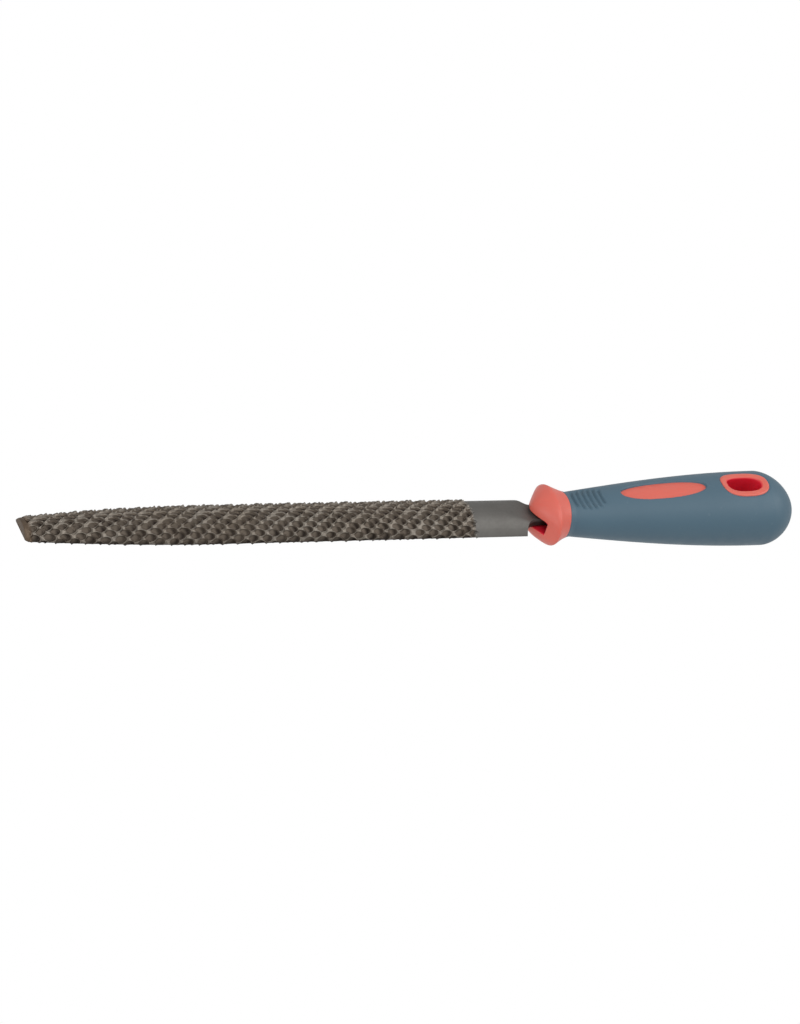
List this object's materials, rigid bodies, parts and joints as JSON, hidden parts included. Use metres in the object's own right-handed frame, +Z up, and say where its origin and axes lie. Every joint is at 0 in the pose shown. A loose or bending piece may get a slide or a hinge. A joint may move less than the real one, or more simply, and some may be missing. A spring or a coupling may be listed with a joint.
{
  "type": "wood rasp",
  "caption": "Half-round wood rasp: tapered toothed steel blade in a two-tone moulded handle with a flared collar, oval window and hanging eye.",
  "frame": {"origin": "middle of the bounding box at its lowest level, under the handle", "axes": "+X from the blade tip to the butt, +Z up on the convex side of the blade, +Y across the blade"},
  "size_m": [0.32, 0.0326, 0.0276],
  "materials": {
    "blade_steel": "dark oiled, coarse punched teeth, smooth heel",
    "core_plastic": "satin moulded",
    "grip_rubber": "satin soft-touch"
  },
  "bodies": {
    "root": {"rasp_blade": "blade_steel", "handle_core": "core_plastic", "handle_grip": "grip_rubber"}
  },
  "joints": []
}
